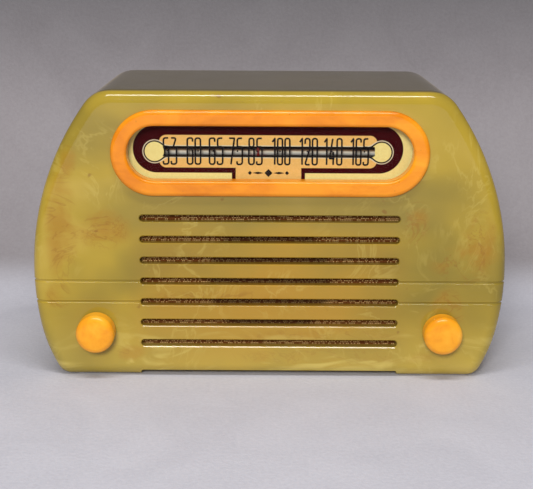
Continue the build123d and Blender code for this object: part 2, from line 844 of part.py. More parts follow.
# ---- tuning capacitor ----
def gang_sections():
    """First rotor plate's depth in each of the two sections."""
    span = gang_plates * gang_pitch
    gap = (gang_length - gang_sheet - 2 * span) / 3
    first = gang_front + gang_sheet + gap
    return first, first + span + gap


def gang_frame():
    left, right = drum_x - 24.0, drum_x + 21.0
    bottom, top = drum_height - gang_base_drop, drum_height + 24.0
    frame = block(left, right, gang_front, gang_back, bottom, bottom + gang_sheet)
    for near in (gang_front, gang_back - gang_sheet):
        frame += block(left, right, near, near + gang_sheet, bottom, top)
    middle = sum(gang_sections()) / 2 + gang_plates * gang_pitch / 2
    shield_top = drum_height - gang_plate_radius - 1
    frame += block(drum_x - 15.5, right, middle - 0.5, middle + 0.3, bottom, shield_top)
    bore = shaft_diameter / 2 + shaft_fit
    frame -= rod(bore, drum_x, drum_height, gang_front - 1, gang_back + 1)
    return frame


def gang_stator_plates():
    plates = []
    for first in gang_sections():
        for step in range(gang_plates - 1):
            near = first + (step + 0.5) * gang_pitch
            plate = block(drum_x - 22.0, drum_x - gang_hub_radius - 1.5, near,
                          near + gang_plate_thickness, drum_height - 20, drum_height + 20)
            plate -= rod(gang_hub_radius + 1.5, drum_x, drum_height, near - 1, near + 2)
            plates.append(plate)
    return solids(*plates)


def gang_insulators():
    """Bakelite bars that carry the stator plates."""
    near, far = gang_front + gang_sheet, gang_back - gang_sheet
    return solids(*[
        block(drum_x - 22.0, drum_x - 16.0, near, far, z0, z0 + 3)
        for z0 in (drum_height - 23.0, drum_height + 20.0)
    ])


def gang_rotor_shaft():
    radius = shaft_diameter / 2
    first, second = gang_sections()
    span = (gang_plates - 1) * gang_pitch + gang_plate_thickness
    shaft = rod(radius, drum_x, drum_height, drum_front + 2.5, gang_back + 4)
    for near in (first, second):
        shaft += rod(gang_hub_radius, drum_x, drum_height, near - 0.6, near + span + 0.6)
    for step in range(gang_plates):
        for near in (first, second):
            shaft -= tube(gang_hub_radius + 1, radius, drum_x, drum_height,
                          near + step * gang_pitch, near + step * gang_pitch + gang_plate_thickness)
    return shaft


def gang_rotor_plates():
    """Half-round plates, turned from fully meshed (to the left) by the angle at rest."""
    half_disc = Circle(gang_plate_radius) & Pos(-gang_plate_radius, 0) * Rectangle(
        2 * gang_plate_radius, 3 * gang_plate_radius
    )
    hub = Circle(gang_hub_radius + 0.8)
    plate = Rot(0, 0, -drum_rest_angle) * (half_disc + hub) - Circle(shaft_diameter / 2)
    plate = Pos(drum_x, drum_height) * plate
    return solids(*[
        slab(plate, first + step * gang_pitch, first + step * gang_pitch + gang_plate_thickness)
        for first in gang_sections()
        for step in range(gang_plates)
    ])


def gang_bracket():
    left, right = drum_x - 23.0, drum_x + 20.0
    top = drum_height - gang_base_drop - 4.0
    near, far = gang_front + 3, gang_back - 3
    bracket = block(left, right, near, far, top - 1, top)
    for x in (left, right - 1):
        bracket += block(x, x + 1, near, far, chassis_top, top)
    for x0, x1 in ((left, left + 7), (right - 7, right)):
        bracket += block(x0, x1, near, far, chassis_top, chassis_top + 1)
    return bracket


def gang_grommets():
    """Rubber feet that keep the capacitor from picking up the speaker's shake."""
    top = drum_height - gang_base_drop
    return solids(*[
        upright(4.0, drum_x + dx, depth, top - 4, top)
        for dx in (-15.0, 12.0)
        for depth in (gang_front + 9, gang_back - 9)
    ])


# ---- speaker ----
def speaker_gasket():
    near = baffle_back
    ring = tube(speaker_radius, cone_radius + 4.5, 0, speaker_height, near, near + gasket_thickness)
    for x, z in speaker_bolts_at():
        ring -= rod(1.3, x, z, near - 1, near + 2)
    return ring


def speaker_front():
    return baffle_back + gasket_thickness


def speaker_basket():
    """Pressed basket: a flat flange, a deep cone with four windows, and a seat for the magnet."""
    near = speaker_front()
    t = speaker_sheet
    deep = near + 22.0
    points = [
        (cone_radius + 4.5, near), (speaker_radius, near), (speaker_radius, near + t),
        (cone_radius + 5.5, near + t), (cone_radius + 3.5, near + 5), (20.0, deep),
        (cone_throat + 2.5, deep), (cone_throat + 2.5, deep - t), (19.2, deep - t),
        (cone_radius + 2.3, near + 4.2), (cone_radius + 3.9, near + t),
    ]
    basket = turned(points, 0, speaker_height)
    window = Pos(0, 29.0) * RectangleRounded(26.0, 12.0, 3.0)
    for quarter in range(4):
        cut = Pos(0, speaker_height) * Rot(0, 0, 90 * quarter) * window
        basket -= slab(cut, near + 3, deep - 1.5)
    for x, z in speaker_bolts_at():
        basket -= rod(1.3, x, z, near - 1, near + t)
    return basket


def speaker_bolts_at():
    centre = Vector(0, speaker_height)
    corners = [around(centre, speaker_radius - 2.1, angle) for angle in (45, 135, 225, 315)]
    return [(p.X, p.Y) for p in corners]


def speaker_magnet():
    """Cup magnet with its pole piece, whose ring gap takes the voice coil."""
    near = speaker_front() + 22.0
    t = 4.0
    points = [
        (cone_throat - 1.2, near), (19.0, near), (19.0, near + 20), (0, near + 20),
        (0, near - 1), (7.4, near - 1), (7.4, near + 12), (15.0, near + 12), (15.0, near + t),
        (cone_throat - 1.2, near + t),
    ]
    return turned(points, 0, speaker_height)


def speaker_cone():
    """Paper cone with its dust cap. It stops a little short of the surround and the spider."""
    near = speaker_front() + 2.2
    throat = speaker_front() + 17.0
    t = 0.6
    cone = turned([
        (cone_radius, near), (cone_radius, near + t), (8.6 + t, throat + t), (8.6, throat + t),
        (8.6, throat), (cone_radius - 1.2, near),
    ], 0, speaker_height)
    cap = turned([(0, throat - 5.4), (5.0, throat - 4.2), (9.2, throat - 1.0), (9.2, throat),
                  (8.6, throat), (4.8, throat - 3.6), (0, throat - 4.8)], 0, speaker_height)
    return solids(cone, cap)


def voice_coil():
    throat = speaker_front() + 17.6
    return tube(8.6, 8.2, 0, speaker_height, throat, throat + 12) + tube(
        9.0, 8.6, 0, speaker_height, throat + 6, throat + 11
    )


def speaker_surround():
    """Corrugated cloth ring between the gasket and the cone's edge."""
    near = speaker_front() + 1.6
    inner, outer = cone_radius + surround_gap, cone_radius + 3.2
    middle = (inner + outer) / 2
    return turned([
        (inner, near), (inner + 0.6, near - 0.5), (middle, near), (outer - 0.6, near - 0.5),
        (outer, near), (outer, near + 0.5), (outer - 0.6, near), (middle, near + 0.5),
        (inner + 0.6, near), (inner, near + 0.5),
    ], 0, speaker_height)


def speaker_spider():
    near = speaker_front() + 20.0
    inner, outer = 9.0 + surround_gap, 18.0
    return tube(outer, inner, 0, speaker_height, near, near + 0.5)


def speaker_bolts():
    bolts = []
    for x, z in speaker_bolts_at():
        seat = speaker_front() + speaker_sheet
        bolts.append(pan_screw(x, z, seat, seat - cloth_back - 0.4, head=1.9))
    return solids(*bolts)


# ---- transformer, cans, valves ----
def output_transformer_core():
    """Stack of laminations with two windows, hung under the chassis between two sockets."""
    left, right = -core_right - 5 * core_leg, -core_right
    z1 = chassis_top - chassis_sheet
    near = valve_row_depth - 12
    core = block(left, right, near, near + 18, z1 - 34, z1)
    for x in (left + core_leg, left + 3 * core_leg):
        core -= block(x, x + core_leg, near - 1, near + 19, z1 - 27, z1 - 7)
    return core


def output_transformer_winding():
    """Coil round the middle leg, filling both windows."""
    middle = -core_right - 2.5 * core_leg
    z1 = chassis_top - chassis_sheet
    near = valve_row_depth - 12
    winding = block(middle - 1.5 * core_leg, middle + 1.5 * core_leg, near - 6, near + 24,
                    z1 - 27, z1 - 7)
    winding = fillet(winding.edges().filter_by(Axis.Z), 3.0)
    return winding - block(middle - core_leg / 2, middle + core_leg / 2, near, near + 18,
                           z1 - 28, z1 - 6)


def if_transformer_cans():
    cans = []
    for x in can_xs:
        can = Pos(x, at(valve_row_depth), chassis_top + can_height / 2) * Box(
            can_width, can_width, can_height
        )
        can = fillet(can.edges().filter_by(Axis.Z), 3.0)
        can = fillet(can.faces().sort_by(Axis.Z)[-1].edges(), 1.5)
        can -= upright(3.2, x, valve_row_depth, chassis_top + can_height - 2,
                       chassis_top + can_height + 1)
        inside = Pos(x, at(valve_row_depth), chassis_top + can_height / 2 - 2.5) * Box(
            can_width - 2, can_width - 2, can_height - 5
        )
        cans.append(can - inside)
    return solids(*cans)


def filter_capacitor_can():
    x, depth = filter_can
    r, z0, z1 = 12.7, chassis_top + 1.2, chassis_top + 62.0
    can = lathed([(0, z0), (r, z0), (r, z1 - 5), (r - 0.7, z1 - 4.4), (r - 0.7, z1 - 3.6),
                  (r, z1 - 3), (r, z1 - 1), (r - 1, z1), (0, z1)], x, depth)
    plate = upright(14.2, x, depth, chassis_top, z0)
    return can + plate


def tube_sockets():
    sockets = []
    for x, depth in socket_places():
        flange = upright(valve_radius, x, depth, chassis_top, valve_seat)
        body = upright(12.0, x, depth, chassis_top - 9, chassis_top)
        key = upright(4.0, x, depth, chassis_top - 9, valve_seat + 0.5)
        socket = flange + body - key
        for pin in range(8):
            angle = math.radians(22.5 + 45 * pin)
            pin_x = x + 8.7 * math.cos(angle)
            pin_depth = depth + 8.7 * math.sin(angle)
            socket -= upright(1.25, pin_x, pin_depth, chassis_top - 7, valve_seat + 1)
        sockets.append(socket)
    return solids(*sockets)


def octal_pins(x, depth):
    """The eight pins and the keyed spigot under a valve's base."""
    pins = upright(3.7, x, depth, valve_seat - 9, valve_seat)
    for pin in range(8):
        angle = math.radians(22.5 + 45 * pin)
        pins += upright(1.15, x + 8.7 * math.cos(angle), depth + 8.7 * math.sin(angle),
                        valve_seat - 7.5, valve_seat)
    return pins


def metal_valves():
    """Steel-envelope valves: crimped skirt, straight shell, stepped top."""
    valves = []
    for x in metal_valve_xs:
        z = valve_seat
        h = metal_valve_height
        shell = lathed([
            (0, z), (valve_radius, z), (valve_radius, z + 7), (valve_radius - 0.8, z + 8),
            (13.8, z + 8.6), (13.8, z + 10.4), (12.9, z + 11), (12.9, z + h - 7),
            (12.0, z + h - 5), (8.0, z + h - 3.4), (7.6, z + h - 1), (6.6, z + h), (0, z + h),
        ], x, valve_row_depth)
        valves.append(shell + octal_pins(x, valve_row_depth))
    return solids(*valves)


def glass_valve_bulbs():
    """Straight, thin-walled bulbs with domed tops."""
    z0, z1 = valve_seat + valve_base_height, valve_seat + glass_valve_height
    r = valve_radius - 1.0

    def dome(radius, top):
        low = top - 9.0
        return [(radius, low), (radius - 0.9, low + 3.6), (radius - 3.2, low + 6.4),
                (radius - 7.0, low + 8.3), (0, top)]

    outer = [(0, z0), (r, z0)] + dome(r, z1)
    inner = [(0, z0 + 1.5), (r - glass_wall, z0 + 1.5)] + dome(r - glass_wall, z1 - glass_wall)
    places = (output_valve, rectifier_valve)
    return solids(*[lathed(outer, *place) - lathed(inner, *place) for place in places])


def glass_valve_bases():
    bases = []
    for place in (output_valve, rectifier_valve):
        z, h = valve_seat, valve_base_height
        base = lathed([(0, z), (valve_radius - 0.6, z), (valve_radius - 0.6, z + 5),
                       (valve_radius, z + 6), (valve_radius, z + h), (0, z + h)], *place)
        bases.append(base + octal_pins(*place))
    return solids(*bases)


def glass_valve_electrodes():
    """Anode box between two mica discs, on its support rods, with the getter ring on top."""
    groups = []
    for x, depth in (output_valve, rectifier_valve):
        z = valve_seat + valve_base_height + 1.5
        anode = Pos(x, at(depth), z + 20) * Box(15, 9, 28)
        anode = fillet(anode.edges().filter_by(Axis.Z), 3.5)
        group = anode + upright(11.5, x, depth, z + 4.5, z + 5.1)
        group += upright(11.5, x, depth, z + 34.9, z + 35.5)
        for dx in (-9.5, 9.5):
            group += upright(0.6, x + dx, depth, z, z + 40)
        group += upright(2.2, x, depth, z, z + 40)
        group += Pos(x, at(depth), z + 40) * Torus(3.4, 0.5)
        group += block(x - 3.4, x + 3.4, depth - 0.4, depth + 0.4, z + 39.6, z + 40.4)
        group += block(x - 9.9, x + 9.9, depth - 0.4, depth + 0.4, z + 38.6, z + 39.2)
        groups.append(group)
    return solids(*groups)


# ---- small parts under the chassis ----
def wired_part(radius, length, x, depth, drop, lead):
    """A cylinder lying along X, with a lead from each end up to the chassis top's underside."""
    z = chassis_top - chassis_sheet - drop
    body = Pos(x, at(depth), z) * Rot(0, 90, 0) * Cylinder(radius, length)
    for side in (-1, 1):
        reach = length / 2 + 3.0
        out = Pos(x + side * (length / 2 + 1.5), at(depth), z) * Rot(0, 90, 0) * Cylinder(lead, 3.0 + lead)
        body += out + upright(lead, x + side * reach, depth, z - lead, chassis_top - chassis_sheet)
    return body


def paper_capacitors():
    between, beyond = valve_spacing, 2 * valve_spacing + 2
    rows = (valve_row_depth - 8, valve_row_depth + 6)
    places = [(x, depth) for x in (between, beyond) for depth in rows]
    places.append((knob_x - 18, arm_depth + 5))
    return solids(*[wired_part(4.8, 27.0, x, depth, 24.0, 0.5) for x, depth in places])


def resistors():
    ahead, behind = valve_row_depth - 19, valve_row_depth + 17
    places = [(x, ahead) for x in (-2.0, 22.0, 46.0)]
    places += [(x, behind) for x in (-60.0, 44.0, 70.0)]
    places += [(side * (knob_x - 16), arm_depth + 20) for side in (-1, 1)]
    return solids(*[wired_part(1.9, 9.5, x, depth, 17.0, 0.4) for x, depth in places])


# ---- back panel ----
def back_panel():
    panel = offset(outer_face, -back_land - back_fit)
    for x, z in back_screws_at:
        panel -= Pos(x, z) * Circle(back_screw_radius + 0.3)
    middle = back_middle()
    for row, rise in enumerate((30.0, 18.0, -18.0, -30.0)):
        count = 11 if row in (0, 3) else 12
        for step in range(count):
            panel -= Pos((step - (count - 1) / 2) * 13.0, middle + rise) * Circle(vent_radius)
    panel -= Pos(cord_exit_x(), cord_exit_height()) * Circle(grommet_radius + 3.5)
    return slab(panel, back_inside, back_inside + back_thickness)


def back_middle():
    return cabinet_height / 2 - 2.0


def back_panel_screws():
    """Round-headed screws into the corner bosses."""
    screws = []
    for x, z in back_screws_at:
        seat = back_inside + back_thickness
        head = turned([(0, seat), (4.2, seat), (4.0, seat + 0.7), (2.6, seat + 1.4),
                       (0, seat + back_head_height)], x, z)
        head -= slab(Pos(x, z) * Rectangle(9.0, 1.0), seat + 0.7, seat + 2)
        screws.append(head + rod(back_screw_radius - 0.1, x, z, seat - 14, seat))
    return solids(*screws)


def loop_antenna():
    """Flat loop of covered wire on the inside of the back panel, one ring for each turn."""
    middle = back_middle()
    rings = []
    for turn in range(loop_turns):
        inset = 2 * turn * loop_pitch
        long, high, corner = 190.0 - inset, 108.0 - inset, 30.0 - turn * loop_pitch
        ring = RectangleRounded(long, high, corner)
        ring -= RectangleRounded(long - 2 * loop_wire, high - 2 * loop_wire, corner - loop_wire)
        rings.append(slab(Pos(0, middle) * ring, back_inside - loop_wire, back_inside))
    return solids(*rings)


nodes = {
    "cabinet_shell": cabinet_shell,
    "dial_bezel": dial_bezel,
    "dial_glass": dial_glass,
    "dial_scale": dial_scale,
    "dial_clips": dial_clips,
    "front_panel_screws": front_panel_screws,
    "grille_cloth": grille_cloth,
    "baffle_board": baffle_board,
    "knob_felt_washers": knob_felt_washers,
    "volume_knob": lambda: knob(-knob_x),
    "tuning_knob": lambda: knob(knob_x),
    "volume_shaft": volume_shaft,
    "tuning_shaft": tuning_shaft,
    "tuning_bushing": tuning_bushing,
    "volume_control_body": volume_control_body,
    "panel_nuts": panel_nuts,
    "chassis_pan": chassis_pan,
    "chassis_screws": chassis_screws,
    "chassis_washers": chassis_washers,
    "mains_grommet": mains_grommet,
    "pointer_cord": pointer_cord,
    "drive_cord": drive_cord,
    "cord_drum": cord_drum,
    "idler_pulley_left": lambda: idler_pulley(idler_left_x, idler_left_height),
    "idler_pulley_right": lambda: idler_pulley(idler_right_x, idler_right_height),
    "idler_studs": idler_studs,
    "dial_frame": dial_frame,
    "pointer_rail": pointer_rail,
    "dial_pointer": dial_pointer,
    "pilot_lamp_holder": pilot_lamp_holder,
    "pilot_lamp_bulb": pilot_lamp_bulb,
    "gang_frame": gang_frame,
    "gang_stator_plates": gang_stator_plates,
    "gang_insulators": gang_insulators,
    "gang_rotor_shaft": gang_rotor_shaft,
    "gang_rotor_plates": gang_rotor_plates,
    "gang_bracket": gang_bracket,
    "gang_grommets": gang_grommets,
    "speaker_gasket": speaker_gasket,
    "speaker_basket": speaker_basket,
    "speaker_magnet": speaker_magnet,
    "speaker_cone": speaker_cone,
    "voice_coil": voice_coil,
    "speaker_surround": speaker_surround,
    "speaker_spider": speaker_spider,
    "speaker_bolts": speaker_bolts,
    "output_transformer_core": output_transformer_core,
    "output_transformer_winding": output_transformer_winding,
    "if_transformer_cans": if_transformer_cans,
    "filter_capacitor_can": filter_capacitor_can,
    "tube_sockets": tube_sockets,
    "metal_valves": metal_valves,
    "glass_valve_bulbs": glass_valve_bulbs,
    "glass_valve_bases": glass_valve_bases,
    "glass_valve_electrodes": glass_valve_electrodes,
    "paper_capacitors": paper_capacitors,
    "resistors": resistors,
    "back_panel": back_panel,
    "back_panel_screws": back_panel_screws,
    "loop_antenna": loop_antenna,
}

os.makedirs("parts", exist_ok=True)
for name, make in nodes.items():
    export_step(make(), f"parts/{name}.step")
print(len(nodes), "nodes, front face at y", round(front_y, 2))
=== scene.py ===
"""A marbled cast-resin table radio from about 1941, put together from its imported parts.

The cabinet comes first, then what is fixed to its front, the chassis with what it carries, the
knobs and the back. The stage, lights and camera are at the end. Lengths are metres.
"""
import math

import bpy
from mathutils import Matrix, Vector


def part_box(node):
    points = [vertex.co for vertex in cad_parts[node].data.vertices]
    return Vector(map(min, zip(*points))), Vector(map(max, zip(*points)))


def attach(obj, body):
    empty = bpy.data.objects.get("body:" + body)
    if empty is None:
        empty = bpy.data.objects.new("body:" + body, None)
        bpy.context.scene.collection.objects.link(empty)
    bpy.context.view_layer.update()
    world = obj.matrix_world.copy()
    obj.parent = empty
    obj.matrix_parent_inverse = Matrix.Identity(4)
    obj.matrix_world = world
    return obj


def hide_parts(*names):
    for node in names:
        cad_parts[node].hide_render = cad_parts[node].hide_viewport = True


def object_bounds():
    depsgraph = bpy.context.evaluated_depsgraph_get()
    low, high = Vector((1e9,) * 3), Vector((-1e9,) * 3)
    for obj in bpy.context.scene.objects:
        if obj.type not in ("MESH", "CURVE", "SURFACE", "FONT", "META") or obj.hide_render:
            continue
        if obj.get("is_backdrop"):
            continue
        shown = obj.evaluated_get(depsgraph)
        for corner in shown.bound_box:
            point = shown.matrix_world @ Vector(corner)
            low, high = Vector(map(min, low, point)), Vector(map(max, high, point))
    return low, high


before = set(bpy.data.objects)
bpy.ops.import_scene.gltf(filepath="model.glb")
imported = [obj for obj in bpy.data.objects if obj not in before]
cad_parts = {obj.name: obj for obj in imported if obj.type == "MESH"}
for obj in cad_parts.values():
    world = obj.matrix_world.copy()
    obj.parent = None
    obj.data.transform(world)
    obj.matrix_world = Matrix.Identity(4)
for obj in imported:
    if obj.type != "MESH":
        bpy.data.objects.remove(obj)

cad_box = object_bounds()
mm = 0.001


# ---- the cabinet ----
# Cast phenolic resin, poured with swirls of darker and lighter colour, cured slowly, then
# sanded and buffed to a high gloss. Age has turned it olive yellow, with rusty smears and veins.
class Wire:
    """A socket of a material. Arithmetic on it adds Math nodes."""

    def __init__(self, socket):
        self.socket = socket
        self.tree = socket.id_data

    def node(self, kind, inputs, settings=None, out=0):
        """Adds a node: its settings first, then the values or links of its inputs."""
        made = self.tree.nodes.new(kind)
        for name, value in (settings or {}).items():
            if name == "stops":
                ramp = made.color_ramp
                while len(ramp.elements) < len(value):
                    ramp.elements.new(0.5)
                for element, (place, colour) in zip(ramp.elements, value):
                    element.position = place
                    element.color = (*colour, 1.0)
            else:
                setattr(made, name, value)
        for name, value in inputs.items():
            if isinstance(value, Wire):
                self.tree.links.new(value.socket, made.inputs[name])
            elif isinstance(value, tuple) and made.inputs[name].type == "RGBA":
                made.inputs[name].default_value = (*value, 1.0)
            else:
                made.inputs[name].default_value = value
        return Wire(made.outputs[out])

    def math(self, operation, *values):
        return self.node("ShaderNodeMath", dict(enumerate(values)), {"operation": operation})

    def __add__(self, other):
        return self.math("ADD", self, other)

    __radd__ = __add__

    def __sub__(self, other):
        return self.math("SUBTRACT", self, other)

    def __rsub__(self, other):
        return self.math("SUBTRACT", other, self)

    def __mul__(self, other):
        return self.math("MULTIPLY", self, other)

    __rmul__ = __mul__

    def __truediv__(self, other):
        return self.math("DIVIDE", self, other)

    def __abs__(self):
        return self.math("ABSOLUTE", self)

    def root(self):
        return self.math("SQRT", self)

    def at_least(self, other):
        return self.math("MAXIMUM", self, other)

    def at_most(self, other):
        return self.math("MINIMUM", self, other)

    def step(self, low, high):
        """0 below low, 1 above high, and a smooth rise between. Low may be the larger."""
        ends = {"Value": self, "From Min": low, "From Max": high}
        return self.node("ShaderNodeMapRange", ends, {"interpolation_type": "SMOOTHSTEP"})

    def split(self, unit):
        """Its three parts, in the unit given."""
        parts = self.node("ShaderNodeSeparateXYZ", {"Vector": self}).socket.node.outputs
        return [Wire(part) * (1.0 / unit) for part in parts]

    def vectors(self, operation, other):
        return self.node("ShaderNodeVectorMath", {0: self, 1: other}, {"operation": operation})

    def ramp(self, *stops):
        return self.node("ShaderNodeValToRGB", {"Fac": self}, {"stops": stops})

    def noise(self, scale, detail=2.0, roughness=0.5, distortion=0.0, out=0):
        inputs = {"Vector": self, "Scale": scale, "Detail": detail, "Roughness": roughness}
        return self.node("ShaderNodeTexNoise", {**inputs, "Distortion": distortion}, out=out)

    def stretched(self, x, y, z, shift=(0.0, 0.0, 0.0)):
        inputs = {"Vector": self, "Location": shift, "Scale": (x, y, z)}
        return self.node("ShaderNodeMapping", inputs)

    def blend(self, first, second):
        """First where this is 0, second where it is 1."""
        inputs = {0: self, 6: first, 7: second}
        return self.node("ShaderNodeMix", inputs, {"data_type": "RGBA"}, out=2)


def new_material(name, **values):
    """A material, its shader and the place on the piece. The values given are constant."""
    material = bpy.data.materials.new(name)
    material.use_nodes = True
    shader = material.node_tree.nodes["Principled BSDF"]
    for key, value in values.items():
        socket = shader.inputs[key.replace("_", " ")]
        socket.default_value = (*value, 1.0) if socket.type == "RGBA" else value
    place = material.node_tree.nodes.new("ShaderNodeTexCoord").outputs["Object"]
    return material, shader, Wire(place)


def feed(shader, **wires):
    for key, wire in wires.items():
        wire.tree.links.new(wire.socket, shader.inputs[key.replace("_", " ")])


def bumped(shader, height, strength, distance):
    inputs = {"Height": height, "Strength": strength, "Distance": distance}
    feed(shader, Normal=height.node("ShaderNodeBump", inputs))


def dress(material, *names):
    """Gives CAD pieces, as they are, a finished material."""
    for name in names:
        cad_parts[name].material_slots[0].material = material


olive = (0.235, 0.172, 0.022)
moss = (0.315, 0.222, 0.024)
honey = (0.40, 0.275, 0.026)
cream = (0.50, 0.35, 0.06)
amber = (0.40, 0.20, 0.020)
rust = (0.25, 0.105, 0.008)
straw = (0.60, 0.47, 0.115)
dark_top_brown = (0.100, 0.078, 0.038)
onyx, onyx_shader, place = new_material("onyx_cast_resin", IOR=1.5)
x, y, z = place.split(mm)
swirl = place.noise(6.0, 3.0, out=1)
drift = swirl.vectors("MULTIPLY", (0.11, 0.11, 0.07))
poured = place.vectors("ADD", drift)
clouds = poured.stretched(1.0, 1.0, 1.5).noise(10.0, 3.0, 0.5)
body = clouds.ramp((0.34, olive), (0.46, moss), (0.57, honey), (0.70, cream))
# Between the louvres and near the foot the cast has more amber in it.
middle = abs(x).step(88.0, 60.0) * abs(z - 50.0).step(62.0, 20.0)
body = (middle * (0.35 + 0.4 * clouds.step(0.4, 0.6))).blend(body, amber)
# Below the dial bezel the front is painted darker and greener: a painted shadow of the bezel.
under_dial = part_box("dial_bezel")[0].z / mm - 5.0
bezel_shadow = abs(z - under_dial).step(20.0, 6.0) * abs(x).step(125.0, 60.0)
body = (bezel_shadow * 0.55).blend(body, (0.20, 0.155, 0.036))
# Pale wisps follow the pour all over, and rusty veins gather in a few places.
turning = poured.stretched(1.4, 1.0, 1.0, (0.05, 0.3, 0.11)).noise(26.0, 4.0, 0.6, 0.7)
wisps = abs(turning - 0.52).step(0.030, 0.0) * place.noise(30.0, 2.0).step(0.45, 0.62)
body = (wisps * 0.22).blend(body, straw)
gathered = 0.0
for where_x, where_z, wide, high in (
    (-119, 88, 9, 34), (-95, 88, 15, 12), (-122, 48, 7, 8), (-80, 14, 9, 5),
    (-114, 128, 5, 9), (111, 72, 19, 15), (121, 86, 8, 14), (103, 40, 9, 14),
    (84, 92, 7, 14), (30, 24, 46, 5), (-30, 47, 40, 5), (40, 12, 60, 5),
):
    off_x, off_z = (x - where_x) / wide, (z - where_z) / high
    gathered = gathered + (off_x * off_x + off_z * off_z).step(1.5, 0.1)
gathered = gathered.at_most(1.0)
beside = y.step(-55.0, -40.0)
gathered = gathered * (1.0 - beside) + beside * place.noise(14.0, 2.0).step(0.55, 0.66)
lines = poured.stretched(1.0, 1.0, 1.2, (0.2, 0.1, 0.4)).noise(34.0, 4.0, 0.6, 1.4)
veins = abs(lines - 0.5).step(0.028, 0.0)
smears = poured.stretched(1.0, 1.0, 1.3, (0.02, 0.4, 0.3)).noise(28.0, 4.0, 0.6, 0.5)
smears = smears.step(0.42, 0.66)
body = (gathered * smears * 0.65).blend(body, (0.33, 0.150, 0.006))
body = (gathered * veins * 0.42).blend(body, rust)
spots = place.noise(130.0, 1.0).step(0.76, 0.82)
body = (spots * 0.6).blend(body, (0.20, 0.085, 0.010))
# The foot shows long pale runs, and the upward-facing top is darker and browner.
runs = poured.stretched(0.30, 1.0, 1.5, (0.2, 0.0, 0.4)).noise(70.0, 3.0, 0.55, 0.8).step(0.5, 0.7)
body = (z.step(44.0, 6.0) * (0.25 + 0.55 * runs)).blend(body, (0.58, 0.45, 0.11))
facing = place.node("ShaderNodeNewGeometry", {}, out=1)
up = facing.node("ShaderNodeSeparateXYZ", {"Vector": facing}, out=2)
dark_top = up.step(0.86, 0.97) * z.step(118.0, 132.0)
streaky = place.stretched(0.2, 1.0, 1.0).noise(260.0, 3.0, 0.6)
body = (dark_top * (0.86 + 0.14 * streaky)).blend(body, dark_top_brown)
feed(onyx_shader, Base_Color=body)
feed(onyx_shader, Roughness=0.07 + 0.05 * place.noise(60.0, 3.0) + 0.10 * dark_top)
bumped(onyx_shader, place.noise(22.0, 2.0), 0.10, 0.0006)
dress(onyx, "cabinet_shell")


# ---- the dial bezel ----
# A ring of butterscotch cast resin, sawn from a poured tube, rounded on its edges and glued
# into the cabinet's opening.
butterscotch = (0.78, 0.245, 0.004)
trim, trim_shader, place = new_material("butterscotch_cast_resin", IOR=1.5)
mottle = place.stretched(0.6, 1.0, 1.3).noise(42.0, 4.0, 0.6, 0.5)
colour = mottle.ramp((0.3, (0.62, 0.165, 0.002)), (0.5, butterscotch), (0.72, (0.88, 0.34, 0.012)))
specks = place.noise(420.0, 1.0).step(0.73, 0.80)
feed(trim_shader, Base_Color=(specks * 0.5).blend(colour, (0.42, 0.14, 0.01)))
feed(trim_shader, Roughness=0.12 + 0.08 * place.noise(90.0, 2.0))
bumped(trim_shader, place.noise(70.0, 2.0), 0.08, 0.0004)
dress(trim, "dial_bezel")


# ---- the dial scale ----
# A thin metal plate printed in maroon over two shades of gold, with a long slot through which the
# rail behind it shows. Its clips hold it and the glass against the cabinet.
scale_low, scale_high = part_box("dial_scale")
dial_z = (scale_low.z + scale_high.z) / 2
print_x = -1.2
slot_half_height = 2.75


def stadium(x, z, half_length, radius):
    """Distance in mm outside a long shape with round ends."""
    over = (abs(x) - (half_length - radius)).at_least(0.0)
    return (over * over + z * z).root() - radius


def boxed(x, z, half_width, half_height, radius):
    """Distance in mm outside a box with rounded corners."""
    over_x = (abs(x) - (half_width - radius)).at_least(0.0)
    over_z = (abs(z) - (half_height - radius)).at_least(0.0)
    return (over_x * over_x + over_z * over_z).root() - radius


def inside(distance, soft=0.12):
    return distance.step(soft, -soft)


enamel, enamel_shader, place = new_material("printed_dial_plate", Specular_IOR_Level=0.05)
x, _, z = place.split(mm)
mm_x = x - print_x
mm_z = z - dial_z / mm + 0.35
grain = place.noise(900.0, 2.0, 0.7)
pale = grain.blend((0.86, 0.70, 0.22), (1.0, 0.90, 0.36))
gold = grain.blend((0.80, 0.47, 0.12), (0.98, 0.62, 0.20))
maroon = (0.045, 0.001, 0.002)
key_black = (0.012, 0.008, 0.008)
# The maroon band is drawn higher than it is printed, up under the bezel's top edge: its upper part
# is painted shadow.
maroon_band_and_shadow = inside(stadium(mm_x, mm_z - 1.6, 77.0, 13.8))
stubs = inside(boxed(abs(mm_x - 0.3) - 19.8, mm_z + 13.0, 1.1, 3.0, 0.2))
door = inside(boxed(mm_x - 0.3, mm_z + 13.5, 18.7, 4.6, 0.4))
field = inside(boxed(mm_x, mm_z - 0.15, 62.0, 9.35, 4.0))
printed = maroon_band_and_shadow.blend(pale, maroon)
printed = stubs.blend(printed, maroon)
printed = door.blend(printed, gold)
printed = field.blend(printed, gold)
from_disc = abs(mm_x) - 64.7
ring = (mm_z * mm_z + from_disc * from_disc).root() - 5.9
trough = boxed(mm_x, mm_z, 64.0, slot_half_height - 0.05, 0.1)
keyhole = ring.math("SMOOTH_MIN", ring, trough, 3.2)
printed = inside(keyhole - 0.95).blend(printed, (0.80, 0.70, 0.46))
printed = inside(keyhole - 0.45).blend(printed, key_black)
printed = inside(keyhole + 0.35).blend(printed, pale)
printed = inside(trough - 0.1).blend(printed, key_black)
printed = inside(ring + 0.55).blend(printed, pale)
feed(enamel_shader, Base_Color=printed)
feed(enamel_shader, Roughness=0.34 + 0.12 * grain)
dress(enamel, "dial_scale")


